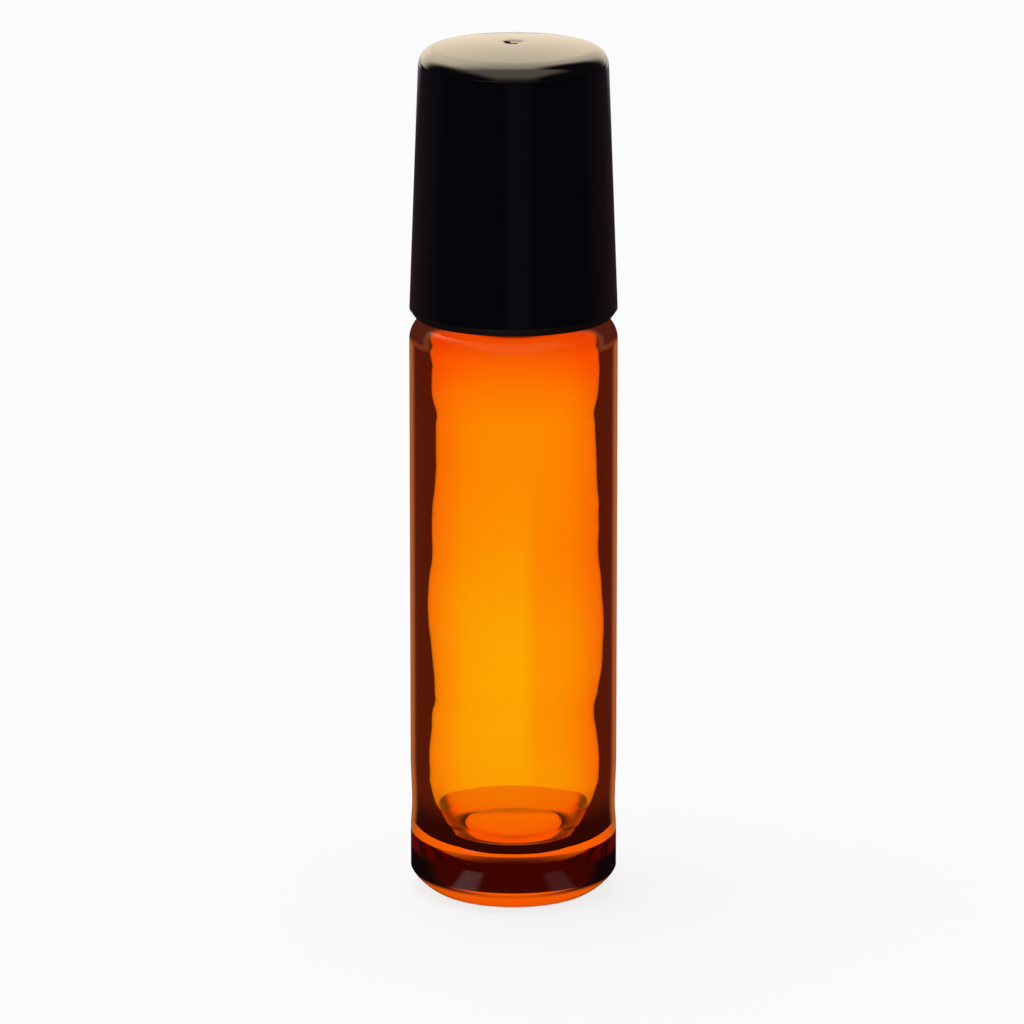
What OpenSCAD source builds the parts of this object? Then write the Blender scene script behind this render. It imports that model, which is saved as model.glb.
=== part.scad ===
// Roll-on bottle: a glass bottle with a screw neck, a ball housing pressed into
// the neck, a rolling ball, a tapered screw cap and the seal that the cap presses
// on the ball. Millimetres, +Z up, origin at the centre of the base.

/* [Glass body] */
// Outer diameter of the glass
body_d = 20; // [19:0.25:24]
// Height of the shoulder's top above the base
body_h = 57.2; // [40:0.5:80]
// Thickness of the side wall
wall_t = 2.1; // [1.6:0.1:2.6]
// Thickness of the solid glass under the middle of the cavity
floor_t = 6.1; // [4:0.1:9]
// Depth of the channel round the floor's raised middle
floor_channel_depth = 0.8; // [0.2:0.1:1.4]
// Width of the slope from the floor's raised middle to that channel
floor_slope_w = 1.35; // [0.8:0.05:2.4]
// Radius of the cavity's lower corner
floor_corner_r = 2.2; // [1:0.1:3.4]
// Thickness of the glass in the shoulder
shoulder_t = 1.3; // [1:0.1:2.4]
// Radius of the shoulder's outer edge
shoulder_r = 2.5; // [1.5:0.1:2.5]
// Width of the shoulder, from the body's side to the neck's side
shoulder_w = 2.6; // [2.2:0.1:3]

/* [Foot] */
// Width of the heel, between the side and the base
heel_w = 2.4; // [1:0.1:3]
// Height of the heel
heel_h = 2.2; // [1:0.1:3.6]
// Fullness of the heel's curve: 2 is round, 1 is a straight bevel
heel_fullness = 1.3; // [1.1:0.1:2]
// Height of the straight foot ring
foot_ring_h = 5.8; // [4.5:0.1:7]
// Depth of the crease that the mould leaves on top of the foot ring
crease_depth = 0.05; // [0.01:0.01:0.12]
// Height of the crease's lower side
crease_h = 0.11; // [0.05:0.01:0.3]
// Depth of the waist drawn in above the foot ring
waist_depth = 0.13; // [0.05:0.01:0.3]
// Height over which the waist flares out to the foot ring
waist_flare_h = 2.7; // [1:0.1:4]
// Height over which the waist eases back to the full diameter
waist_ease_h = 5; // [2:0.25:8]
// Width of the flat ring that the bottle stands on
bearing_w = 0.9; // [0.5:0.1:1.6]
// Depth of the hollow under the base
punt_depth = 0.5; // [0.3:0.1:1.2]

/* [Neck] */
// Height of the neck above the shoulder
neck_h = 11; // [9:0.2:15]
// Thickness of the neck's wall between its threads
neck_wall = 2.3; // [1.8:0.1:2.8]
// Radius of the neck's foot, where it meets the shoulder
neck_fillet_r = 0.5; // [0.2:0.1:1]
// Radius of the rounded lip
lip_r = 0.6; // [0.2:0.1:0.9]

/* [Thread] */
// Rise of the thread in one turn
thread_pitch = 3.2; // [2.8:0.1:4]
// Turns of thread on the neck
neck_thread_turns = 1.5; // [1:0.25:1.75]
// Turns of thread inside the cap
cap_thread_turns = 1.25; // [1:0.25:1.5]
// Height of the neck's thread above the neck
thread_depth = 0.9; // [0.6:0.05:1]
// Width of the neck's thread at its root
neck_thread_root_w = 1.6; // [1.2:0.1:1.8]
// Width of the neck's thread at its crest
neck_thread_crest_w = 0.6; // [0.3:0.1:0.9]
// Width of the cap's thread at its root
cap_thread_root_w = 1.2; // [0.9:0.1:1.4]
// Width of the cap's thread at its crest
cap_thread_crest_w = 0.5; // [0.3:0.1:0.8]
// Distance from the lip down to the middle of the neck's thread
thread_top_gap = 1.5; // [1.2:0.1:2]

/* [Ball and housing] */
// Diameter of the roller ball
ball_d = 9.8; // [9:0.1:10.4]
// Height of the ball's centre above the lip
ball_rise = 4.8; // [4.4:0.1:5.4]
// Height of the housing's rim above the ball's centre
rim_rise = 1.6; // [1.2:0.1:2]
// Thickness of the housing round the ball
cup_wall = 0.9; // [0.7:0.1:1.1]
// Difference in radius between the cup's foot and its rim
cup_draft = 0.5; // [0.2:0.1:0.6]
// Thickness of the flange that rests on the lip
flange_t = 1.2; // [0.8:0.1:1.8]
// Set-back of the flange's edge from the neck's side
flange_inset = 0.4; // [0.1:0.1:0.6]
// Length of the plug inside the neck
plug_l = 8; // [5:0.25:9]
// Thickness of the plug's wall
plug_wall = 1; // [0.7:0.1:1.3]
// Number of sealing ribs round the plug
rib_count = 3; // [2:1:4]
// Height of one sealing rib along the plug
rib_w = 0.9; // [0.5:0.1:1.2]
// Thickness of the web under the lowest point of the socket
web_t = 1.2; // [0.8:0.1:1.8]
// Diameter of the feed hole in the web
feed_d = 6.2; // [4:0.1:6.6]
// Number of feed grooves in the socket
groove_count = 4; // [3:1:6]
// Width of a feed groove
groove_w = 1.2; // [0.8:0.1:1.6]
// Depth of a feed groove
groove_depth = 0.4; // [0.2:0.05:0.5]

/* [Cap] */
// Lean of the cap's side from upright, in degrees
cap_lean = 2.15; // [1:0.05:2.6]
// Rise of the domed top from its edge to its middle
crown_rise = 0.73; // [0.3:0.01:1.5]
// Radius of the edge between the cap's side and its top
cap_edge_r = 1.8; // [0.8:0.1:2.2]
// Thickness of the cap's top at its middle
cap_top_t = 1.5; // [1.1:0.1:2.2]
// Radius of the corner inside the cap's top
cap_inner_edge_r = 1.2; // [0.5:0.1:1.6]
// Width of the bevel round the cap's lower edge
rim_bevel_w = 0.5; // [0.2:0.05:0.7]
// Height of that bevel
rim_bevel_h = 0.7; // [0.2:0.05:1]
// Diameter of the dimple left by the moulding gate
gate_dimple_d = 2.4; // [1.6:0.1:3.2]
// Depth of that dimple
gate_dimple_depth = 0.22; // [0.1:0.01:0.35]
// Diameter of the nib in the dimple
gate_nib_d = 0.7; // [0.4:0.1:1]
// Height of the nib in the dimple
gate_nib_h = 0.14; // [0.05:0.01:0.2]

/* [Ball seal] */
// Room between the top of the ball and the cap's ceiling
head_room = 4.2; // [3.4:0.1:6]
// Diameter of the seal's disc
seal_disc_d = 11; // [9.6:0.1:11.6]
// Thickness of the seal's disc
seal_disc_t = 0.9; // [0.6:0.1:1.2]
// Outer diameter of the ring that presses on the ball
seal_ring_d = 7.4; // [6.6:0.1:8]
// Thickness of that ring's wall
seal_ring_wall = 0.9; // [0.6:0.1:1.2]
// Wall of the collar that holds the seal in the cap
collar_wall = 0.8; // [0.5:0.1:1.1]
// Height of the bead that the seal snaps over
bead_h = 0.6; // [0.4:0.1:0.9]
// How far the bead stands in under the disc
bead_depth = 0.3; // [0.2:0.05:0.4]

/* [Clearances] */
// Gap between the cap's lower edge and the shoulder
cap_gap = 0.3; // [0.15:0.05:0.6]
// Set-back of the cap's side from the glass
cap_inset = 0.02; // [0:0.01:0.2]
// Radial gap between a thread's crest and the wall that it faces
thread_clear = 0.2; // [0.12:0.01:0.3]
// Gap between the flanks of the two threads
flank_clear = 0.12; // [0.08:0.01:0.16]
// Radial gap round the ball in its socket
ball_clear = 0.08; // [0.03:0.01:0.12]
// Radial gap between the plug and the bore
plug_clear = 0.12; // [0.05:0.01:0.2]
// How far a sealing rib bites past the bore
rib_bite = 0.05; // [0.02:0.01:0.08]
// Gap round the seal's disc in its collar
seal_play = 0.1; // [0.06:0.01:0.16]
// Gap between the seal's ring and the ball
seal_gap = 0.06; // [0.04:0.01:0.12]

/* [Hidden] */
$fn = 96;
// Overrun of a cut past the face that it opens
cut = 1;
// Depth that a thread's root is sunk into its wall
thread_sink = 0.3;
// Depth that a thread's foot, and the crest of its faded end, lie under its wall
thread_foot_sink = 0.06;
// Share of that depth added at the knee of a faded end
knee_sink_share = 0.3;
// Most of the shoulder's width that its rounded edge may take, as a share
shoulder_edge_share = 0.96;
// Shares of the step from cavity to bore taken by its lower and upper curves
shoulder_curve_share = 0.5;
bore_curve_share = 1 - shoulder_curve_share;
// Share of a rib's height that its flat crest takes
rib_crest_share = 0.35;
// Share of the plug's length that lies under its lowest rib
rib_foot_share = 0.16;
// Share of the plug's wall taken off by its lead-in bevel
plug_lead_share = 0.5;
// Share of the rim's wall taken by its rounding
rim_round_share = 0.4;
// Share of the thread's depth at which its flanks begin to round over
flank_share = 0.7;
// Share of the thread's crest width added by that rounding
flank_round_share = 0.45;
// Steps in a rounded corner, in the waist and in one turn of thread
corner_steps = 12;
waist_steps = 8;
turn_steps = 48;
// Angle over which a thread's end fades into its wall
fade_angle = 40;
// Angle by which the cap's thread starts after the neck's
cap_thread_lag = 60;

body_r = body_d / 2;
cavity_r = body_r - wall_t;
neck_r = body_r - shoulder_w;
bore_r = neck_r - neck_wall;
thread_r = neck_r + thread_depth;
lip_z = body_h + neck_h;
heel_x = body_r - heel_w;
punt_r = heel_x - bearing_w;
channel_r = cavity_r - floor_corner_r;
channel_z = floor_t - floor_channel_depth;
waist_r = body_r - waist_depth;
shoulder_step = cavity_r - bore_r;
shoulder_curve_r = shoulder_step * shoulder_curve_share;
bore_curve_r = shoulder_step * bore_curve_share;
shoulder_edge_r = min(shoulder_r, shoulder_w * shoulder_edge_share);
neck_foot_r = min(neck_fillet_r, shoulder_w - shoulder_edge_r);

ball_r = ball_d / 2;
ball_z = lip_z + ball_rise;
socket_r = ball_r + ball_clear;
rim_z = ball_z + rim_rise;
cup_rim_r = socket_r + cup_wall - cup_draft / 2;
cup_foot_r = cup_rim_r + cup_draft;
rim_opening_r = sqrt(socket_r * socket_r - rim_rise * rim_rise);
rim_round_r = (cup_rim_r - rim_opening_r) * rim_round_share;
flange_r = max(neck_r - flange_inset, cup_foot_r + flange_inset);
plug_r = bore_r - plug_clear;
plug_hollow_r = plug_r - plug_wall;
plug_z = lip_z - plug_l;
web_z = ball_z - socket_r - web_t;

crown_z = ball_z + ball_r + head_room + cap_top_t;
ceiling_z = crown_z - cap_top_t;
cap_base_r = body_r - cap_inset;
cap_slope = tan(cap_lean);
cap_bore_r = thread_r + thread_clear;
rim_bore_r = cap_bore_r + cap_slope * neck_h;
seat_overhang = max(0, rim_bore_r - body_r + shoulder_edge_r);
seat_z = body_h - shoulder_edge_r + sqrt(pow(shoulder_edge_r, 2) - pow(seat_overhang, 2));
cap_rim_z = seat_z + cap_gap;
cap_side_z = cap_rim_z + rim_bevel_h;
cap_edge_z = crown_z - crown_rise;
cap_top_r = cap_base_r - cap_slope * (cap_edge_z - cap_side_z);
dome_r = (cap_top_r * cap_top_r + crown_rise * crown_rise) / (2 * crown_rise);
dome_z = crown_z - dome_r;

collar_bore_r = seal_disc_d / 2 + seal_play;
collar_r = collar_bore_r + collar_wall;
seal_top_z = ceiling_z - seal_play;
seal_disc_z = seal_top_z - seal_disc_t;
bead_z = seal_disc_z - seal_play;
collar_z = bead_z - bead_h;
seal_ring_r = seal_ring_d / 2;
seal_ring_bore_r = seal_ring_r - seal_ring_wall;
seal_ring_z = ball_z + seal_gap + sqrt(ball_r * ball_r - seal_ring_bore_r * seal_ring_bore_r);

neck_thread_z = lip_z - thread_top_gap - neck_thread_turns * thread_pitch;
thread_offset = (neck_thread_root_w + cap_thread_crest_w) / 2 + flank_clear;

// Points along an arc about [x, z], from angle a to angle b
function arc(centre, r, a, b, steps = corner_steps) =
    [for (i = [0:steps])
        let (t = a + (b - a) * i / steps)
        centre + r * [cos(t), sin(t)]];

// Inner radius of the cap at height z: its bore leans as its side does
function cap_inner_r(z) = cap_bore_r + cap_slope * (lip_z - z);

// Distance inwards from 0 to 1 along a smooth step, at share t of its length
function ease(t) = (1 - cos(180 * t)) / 2;

// Share of the heel's width or height left at angle t of its curve
function heel_share(t) = 1 - pow(sin(t), 2 / heel_fullness);

// Depth share of a thread at angle t of a total, fading out at both ends
function fade(t, total) = min(1, t / fade_angle, (total - t) / fade_angle);

// Section of a thread at full or faded depth: [radius, height] points.
// side is 1 for a thread that stands out and -1 for one that stands in.
function thread_section(wall_r, side, depth, root_w, crest_w, share) =
    let (drop = thread_foot_sink * (1 - share),
         crest = wall_r + side * (depth * share - drop),
         knee = wall_r + side * (depth * flank_share * share - drop * (1 + knee_sink_share)),
         foot = wall_r - side * (thread_foot_sink + drop),
         root = wall_r - side * thread_sink,
         knee_w = crest_w + (root_w - crest_w) * flank_round_share)
    [[root, -side * root_w / 2], [foot, -side * root_w / 2],
     [knee, -side * knee_w / 2], [crest, -side * crest_w / 2],
     [crest, side * crest_w / 2], [knee, side * knee_w / 2],
     [foot, side * root_w / 2], [root, side * root_w / 2]];

// A helical ridge that rises from height z and starts at an angle
module ridge(sections, start, turns) {
    steps = len(sections) - 1;
    ring = len(sections[0]);
    points = [for (i = [0:steps])
        let (a = start + 360 * turns * i / steps)
        for (p = sections[i]) [p[0] * cos(a), p[0] * sin(a), p[1]]];
    walls = [for (i = [0:steps - 1], j = [0:ring - 1])
        let (a = i * ring + j, b = i * ring + (j + 1) % ring)
        each [[a, b, b + ring], [a, b + ring, a + ring]]];
    caps = [[for (j = [ring - 1:-1:0]) j], [for (j = [0:ring - 1]) steps * ring + j]];
    polyhedron(points, concat(walls, caps));
}

module neck_thread() {
    total = 360 * neck_thread_turns;
    steps = round(turn_steps * neck_thread_turns);
    ridge([for (i = [0:steps])
        let (t = total * i / steps, lift = neck_thread_z + thread_pitch * t / 360)
        [for (p = thread_section(neck_r, 1, thread_depth, neck_thread_root_w,
                                 neck_thread_crest_w, fade(t, total)))
            p + [0, lift]]],
        0, neck_thread_turns);
}

module cap_thread() {
    total = 360 * cap_thread_turns;
    steps = round(turn_steps * cap_thread_turns);
    low_z = neck_thread_z - thread_offset + thread_pitch * cap_thread_lag / 360;
    crest_r = neck_r + thread_clear;
    ridge([for (i = [0:steps])
        let (t = total * i / steps, lift = low_z + thread_pitch * t / 360,
             wall_r = cap_inner_r(lift))
        [for (p = thread_section(wall_r, -1, wall_r - crest_r, cap_thread_root_w,
                                 cap_thread_crest_w, fade(t, total)))
            p + [0, lift]]],
        cap_thread_lag, cap_thread_turns);
}

// Amber glass bottle: thick foot with a bevelled heel, straight side, shoulder,
// threaded neck, and a cavity whose floor stands up in the middle
module glass_bottle() {
    punt_ball_r = (punt_r * punt_r + punt_depth * punt_depth) / (2 * punt_depth);
    punt_angle = asin(punt_r / punt_ball_r);
    flare_top = foot_ring_h + waist_flare_h;
    outside = concat(
        arc([0, punt_depth - punt_ball_r], punt_ball_r, 90, 90 - punt_angle),
        [for (i = [0:corner_steps])
            let (t = 90 * i / corner_steps)
            [body_r - heel_w * heel_share(t), heel_h * heel_share(90 - t)]],
        [[body_r, foot_ring_h - crease_h], [body_r - crease_depth, foot_ring_h]],
        [for (i = [1:waist_steps])
            [body_r - waist_depth * ease(i / waist_steps),
             foot_ring_h + waist_flare_h * i / waist_steps]],
        [for (i = [1:waist_steps])
            [waist_r + waist_depth * ease(i / waist_steps),
             flare_top + waist_ease_h * i / waist_steps]],
        arc([body_r - shoulder_edge_r, body_h - shoulder_edge_r], shoulder_edge_r, 0, 90),
        arc([neck_r + neck_foot_r, body_h + neck_foot_r], neck_foot_r, -90, -180),
        arc([neck_r - lip_r, lip_z - lip_r], lip_r, 0, 90));
    inside = concat(
        arc([bore_r + lip_r, lip_z - lip_r], lip_r, 90, 180),
        arc([bore_r + bore_curve_r, body_h - shoulder_t + bore_curve_r], bore_curve_r, 180, 270),
        arc([cavity_r - shoulder_curve_r, body_h - shoulder_t - shoulder_curve_r],
            shoulder_curve_r, 90, 0),
        arc([channel_r, channel_z + floor_corner_r], floor_corner_r, 0, -90),
        [for (i = [1:waist_steps])
            [channel_r - floor_slope_w * i / waist_steps,
             channel_z + floor_channel_depth * ease(i / waist_steps)]],
        [[0, floor_t]]);
    color([0.72, 0.30, 0.04, 0.6])
    union() {
        rotate_extrude() polygon(concat(outside, inside));
        neck_thread();
    }
}

// Section of one sealing rib, from the plug's side out past the bore
module rib_section(z) {
    crest_w = rib_w * rib_crest_share;
    polygon([[plug_r - plug_wall / 2, z - rib_w / 2], [plug_r, z - rib_w / 2],
             [bore_r + rib_bite, z - crest_w / 2], [bore_r + rib_bite, z + crest_w / 2],
             [plug_r, z + rib_w / 2], [plug_r - plug_wall / 2, z + rib_w / 2]]);
}

// Housing of clear plastic: a plug in the bore, a flange on the lip and a cup
// whose rim closes over the ball just above its middle
module roller_housing() {
    lead = plug_wall * plug_lead_share;
    rib_room = plug_l * (1 - 2 * rib_foot_share);
    color([0.88, 0.89, 0.86])
    difference() {
        union() {
            rotate_extrude() polygon(concat(
                [[0, web_z], [plug_hollow_r, web_z], [plug_hollow_r, plug_z],
                 [plug_r - lead, plug_z], [plug_r, plug_z + lead], [plug_r, lip_z],
                 [flange_r, lip_z], [flange_r, lip_z + flange_t],
                 [cup_foot_r, lip_z + flange_t]],
                arc([cup_rim_r - rim_round_r, rim_z - rim_round_r], rim_round_r, 0, 90),
                [[0, rim_z]]));
            rotate_extrude()
                for (i = [0:rib_count - 1])
                    rib_section(plug_z + plug_l * rib_foot_share
                                + rib_room * i / max(1, rib_count - 1));
        }
        translate([0, 0, ball_z]) sphere(socket_r);
        translate([0, 0, web_z - cut]) cylinder(d = feed_d, h = web_t + socket_r + cut);
        for (i = [0:groove_count - 1]) rotate(360 * i / groove_count) feed_groove();
    }
}

// One groove up the side of the socket, which lets the liquid past the ball
module feed_groove() {
    intersection() {
        translate([0, 0, ball_z]) sphere(socket_r + groove_depth);
        translate([0, -groove_w / 2, ball_z - socket_r - groove_depth])
            cube([socket_r + groove_depth, groove_w, socket_r + groove_depth]);
    }
}

// Polished steel ball
module roller_ball() {
    color([0.75, 0.76, 0.78])
    translate([0, 0, ball_z]) sphere(ball_r);
}

// Outside of the cap: bevelled rim, leaning side, rounded edge and domed top
function cap_outside() =
    let (side_n = [cos(cap_lean), sin(cap_lean)],
         side_t = [-sin(cap_lean), cos(cap_lean)],
         dome_c = [0, dome_z],
         reach = [cap_top_r, cap_edge_z] * side_n - cap_edge_r,
         across = reach - dome_c * side_n,
         along = sqrt(pow(dome_r - cap_edge_r, 2) - across * across),
         edge_c = dome_c + across * side_n + along * side_t,
         edge_angle = atan2(edge_c[1] - dome_z, edge_c[0]))
    concat([[cap_base_r - rim_bevel_w, cap_rim_z], [cap_base_r, cap_side_z]],
           arc(edge_c, cap_edge_r, cap_lean, edge_angle),
           arc(dome_c, dome_r, edge_angle, 90));

// Inside of the cap, from the middle of its ceiling out and down to the rim
function cap_inside() =
    let (corner_z = ceiling_z - cap_inner_edge_r,
         corner_x = cap_inner_r(corner_z) - cap_inner_edge_r / cos(cap_lean))
    concat([[0, ceiling_z]],
           arc([corner_x, corner_z], cap_inner_edge_r, 90, cap_lean),
           [[cap_inner_r(cap_rim_z), cap_rim_z]]);

// Collar under the cap's ceiling, with the bead that the seal snaps over
module seal_collar() {
    rotate_extrude() polygon([
        [collar_bore_r, ceiling_z + cap_top_t / 2], [collar_bore_r, bead_z],
        [collar_bore_r - bead_depth, bead_z], [collar_bore_r, collar_z],
        [collar_r, collar_z], [collar_r, ceiling_z + cap_top_t / 2]]);
}

// The dimple and nib that the moulding gate leaves on top of the cap
module gate_mark() {
    dimple_ball_r = (pow(gate_dimple_d / 2, 2) + pow(gate_dimple_depth, 2)) / (2 * gate_dimple_depth);
    difference() {
        translate([0, 0, crown_z - gate_dimple_depth + dimple_ball_r]) sphere(dimple_ball_r);
        translate([0, 0, crown_z - gate_dimple_depth - cut])
            cylinder(d = gate_nib_d, h = cut + gate_nib_h);
    }
}

// Gloss black screw cap
module screw_cap() {
    color([0.03, 0.03, 0.035])
    difference() {
        union() {
            rotate_extrude() polygon(concat(cap_outside(), cap_inside()));
            seal_collar();
            cap_thread();
        }
        gate_mark();
    }
}

// Soft seal: a disc that can turn in the cap, with a ring that closes on the ball
module ball_seal() {
    color([0.86, 0.87, 0.84])
    rotate_extrude() polygon([
        [0, seal_disc_z], [seal_ring_bore_r, seal_disc_z], [seal_ring_bore_r, seal_ring_z],
        [seal_ring_r, seal_ring_z], [seal_ring_r, seal_disc_z],
        [seal_disc_d / 2, seal_disc_z], [seal_disc_d / 2, seal_top_z], [0, seal_top_z]]);
}

glass_bottle();
roller_housing();
roller_ball();
screw_cap();
ball_seal();
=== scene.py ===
import math

import bmesh
import bpy
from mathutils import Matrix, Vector


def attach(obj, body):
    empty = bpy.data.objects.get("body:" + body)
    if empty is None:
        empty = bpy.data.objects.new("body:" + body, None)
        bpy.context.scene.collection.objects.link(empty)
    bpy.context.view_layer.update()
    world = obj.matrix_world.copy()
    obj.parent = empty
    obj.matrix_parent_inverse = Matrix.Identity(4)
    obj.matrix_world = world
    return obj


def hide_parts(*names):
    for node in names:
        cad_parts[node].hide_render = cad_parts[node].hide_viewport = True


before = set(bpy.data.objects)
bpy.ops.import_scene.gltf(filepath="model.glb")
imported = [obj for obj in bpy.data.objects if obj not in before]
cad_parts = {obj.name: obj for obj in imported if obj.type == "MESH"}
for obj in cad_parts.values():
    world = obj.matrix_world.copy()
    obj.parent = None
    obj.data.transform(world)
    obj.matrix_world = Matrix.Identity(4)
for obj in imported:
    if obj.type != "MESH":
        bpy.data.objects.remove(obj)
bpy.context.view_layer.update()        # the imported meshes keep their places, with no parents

mm = 0.001
weld = 0.0005 * mm       # points nearer than this are one
print("frame loaded")

# Camera: looks along +Y and a little down, from the photograph's side
shot = {
    "place": (-0.144 * mm, -722.9 * mm, 223.2 * mm),
    "pitch": 14.407,                  # degrees below the horizon
    "lens": 272.13,
    "sensor": 36.0,
    "clip": (0.05, 20),
}
bpy.ops.object.camera_add(location=shot["place"],
                          rotation=(math.radians(90 - shot["pitch"]), 0, 0))
camera = bpy.context.object
camera.name = "photoCamera"
camera.data.lens = shot["lens"]
camera.data.sensor_width = shot["sensor"]
camera.data.clip_start, camera.data.clip_end = shot["clip"]
scene = bpy.context.scene
scene.camera = camera
scene.view_settings.view_transform = "Standard"
scene.cycles.max_bounces = 24
scene.cycles.transmission_bounces = 24
scene.cycles.glossy_bounces = 8
print("camera placed")


# A socket that can stand in sums: each operator adds one Math node
class Signal:
    def __init__(self, maker, socket):
        self.maker = maker
        self.socket = socket

    def math(self, operation, *values):
        return self.maker.add("ShaderNodeMath", {"operation": operation},
                              dict(enumerate(values))).out("Value")

    def __add__(self, other):
        return self.math("ADD", self, other)

    def __radd__(self, other):
        return self.math("ADD", other, self)

    def __sub__(self, other):
        return self.math("SUBTRACT", self, other)

    def __rsub__(self, other):
        return self.math("SUBTRACT", other, self)

    def __mul__(self, other):
        return self.math("MULTIPLY", self, other)

    def __rmul__(self, other):
        return self.math("MULTIPLY", other, self)

    def __truediv__(self, other):
        return self.math("DIVIDE", self, other)

    def __neg__(self):
        return self.math("MULTIPLY", self, -1)

    def __gt__(self, other):
        return self.math("GREATER_THAN", self, other)

    def __lt__(self, other):
        return self.math("LESS_THAN", self, other)


# One node with its inputs filled in
class Part:
    def __init__(self, maker, node):
        self.maker = maker
        self.node = node

    def out(self, name):
        return Signal(self.maker, self.node.outputs[name])


# Fills the node tree of a material or of the world
class Maker:
    def __init__(self, tree):
        self.tree = tree
        tree.nodes.clear()

    def add(self, kind, settings=None, sockets=None):
        node = self.tree.nodes.new(kind)
        for name, value in (settings or {}).items():
            if name == "stops":
                self.fillRamp(node.color_ramp, value)
            else:
                setattr(node, name, value)
        for name, value in (sockets or {}).items():
            if isinstance(value, Signal):
                self.tree.links.new(value.socket, node.inputs[name])
            else:
                node.inputs[name].default_value = value
        return Part(self, node)

    def fillRamp(self, ramp, stops):
        while len(ramp.elements) > 1:
            ramp.elements.remove(ramp.elements[-1])
        ramp.elements[0].position = stops[0][0]
        ramp.elements[0].color = stops[0][1]
        for place, color in stops[1:]:
            ramp.elements.new(place).color = color

    # Object coordinates, seen from a chosen centre
    def place(self, centre=(0, 0, 0), scale=(1, 1, 1)):
        where = self.add("ShaderNodeTexCoord").out("Object")
        shift = tuple(-c * s for c, s in zip(centre, scale))
        return self.add("ShaderNodeMapping", {}, {"Vector": where, "Location": shift, "Scale": scale})

    def noise(self, vector, size, detail):
        return self.add("ShaderNodeTexNoise", {}, {
            "Vector": vector, "Scale": 1 / size, "Detail": detail}).out("Fac")

    def between(self, value, low, high):
        return self.add("ShaderNodeMapRange", {"interpolation_type": "SMOOTHSTEP"}, {
            "Value": value, "From Min": low, "From Max": high}).out("Result")

    # Rises from 0 to 1 over the first two marks and falls back over the last two
    def hill(self, value, marks):
        start, full, thin, stop = marks
        return self.between(value, start, full) * (1 - self.between(value, thin, stop))

    def blendColor(self, share, first, second):
        return self.add("ShaderNodeMix", {"data_type": "RGBA"}, {
            0: share, 6: first, 7: second}).out(2)

    def tint(self, share, color, filter_):
        return self.add("ShaderNodeMix", {"data_type": "RGBA", "blend_type": "MULTIPLY"}, {
            0: share, 6: color, 7: filter_}).out(2)

    def bump(self, height, depth):
        return self.add("ShaderNodeBump", {}, {"Height": height, "Distance": depth}).out("Normal")

    def finish(self, shader, volume=None, kind="ShaderNodeOutputMaterial"):
        sockets = {"Surface": shader}
        if volume:
            sockets["Volume"] = volume
        self.add(kind, {}, sockets)


def newMaterial(name):
    material = bpy.data.materials.new(name)
    material.use_nodes = True
    return material, Maker(material.node_tree)


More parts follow.
